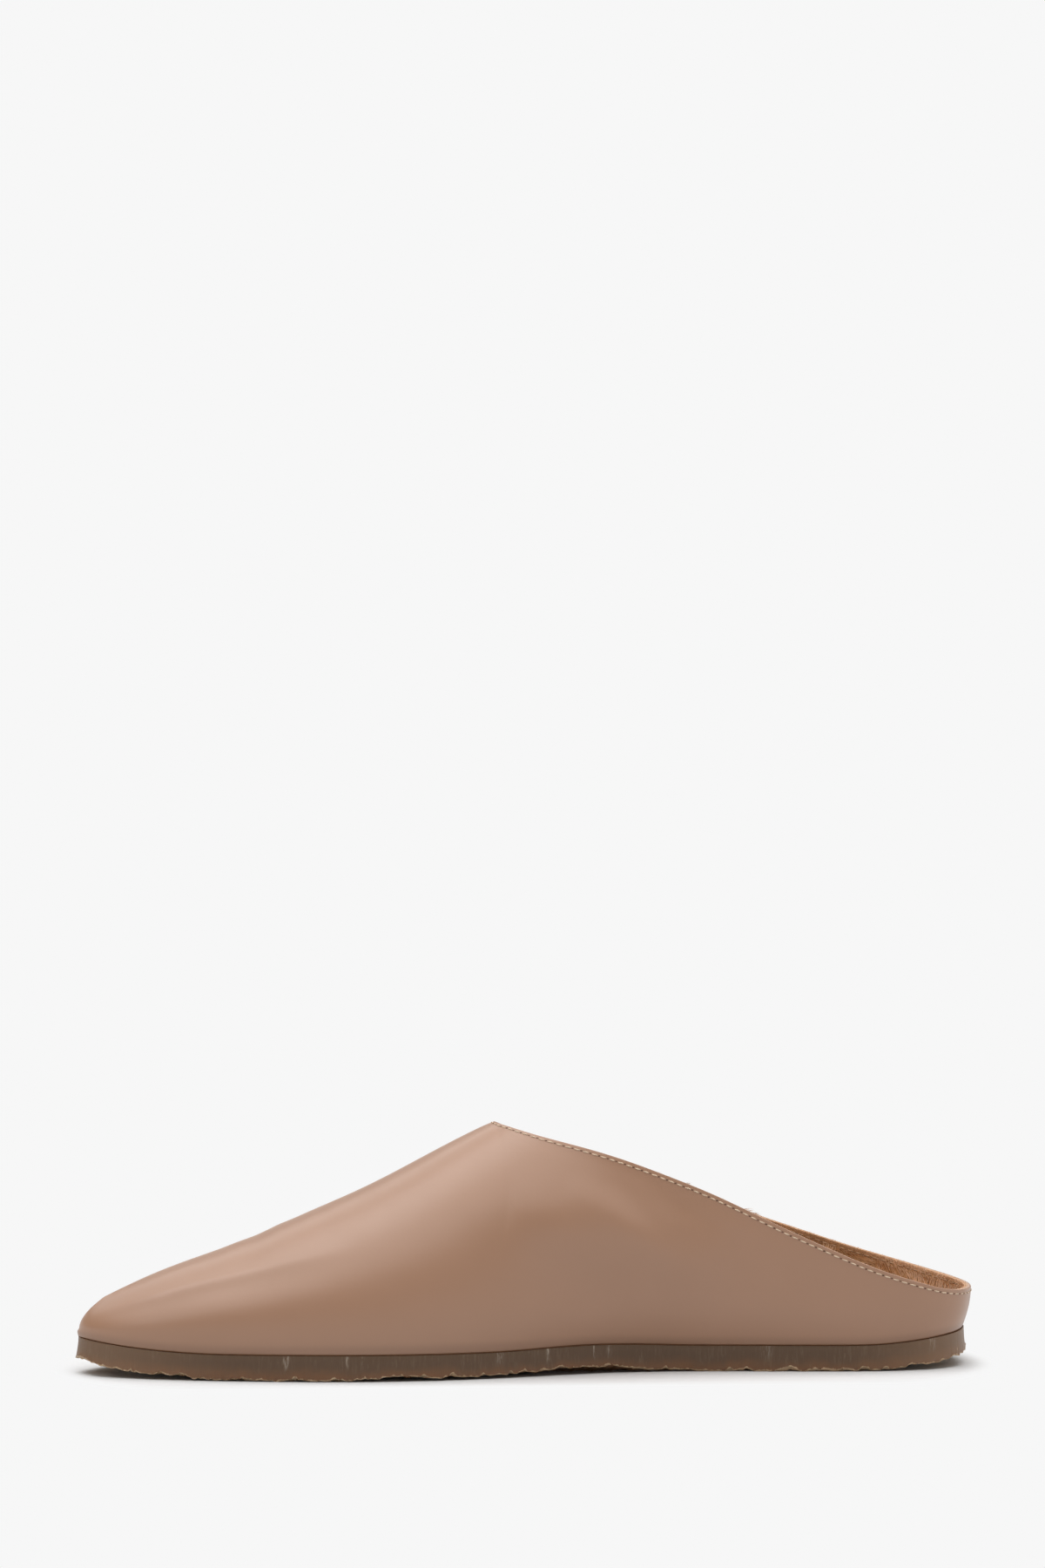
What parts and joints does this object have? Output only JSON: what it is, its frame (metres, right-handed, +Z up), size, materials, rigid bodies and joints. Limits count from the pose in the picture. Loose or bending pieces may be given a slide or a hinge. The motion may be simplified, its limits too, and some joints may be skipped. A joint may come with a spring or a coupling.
{
  "type": "closed-toe slip-on mule",
  "caption": "Right-foot closed-toe leather mule with a low open heel collar, a hair lining and a flat crepe rubber sole.",
  "frame": {"origin": "bottom centre of the shoe's box, on the floor it stands on", "axes": "+Z up, toe towards -X, heel towards +X, inner side of the foot towards -Y, outer side towards +Y"},
  "size_m": [0.268, 0.0936, 0.073],
  "materials": {
    "crepe_rubber": "natural crepe, smooth cut side, torn lower edge",
    "leather": "smooth semi-matt taupe calf",
    "clipped_hair": "short tan hair lining",
    "thread": "waxed cream lockstitch"
  },
  "bodies": {
    "root": {"outsole": "crepe_rubber", "upper": "leather", "insole": "clipped_hair"}
  },
  "joints": []
}
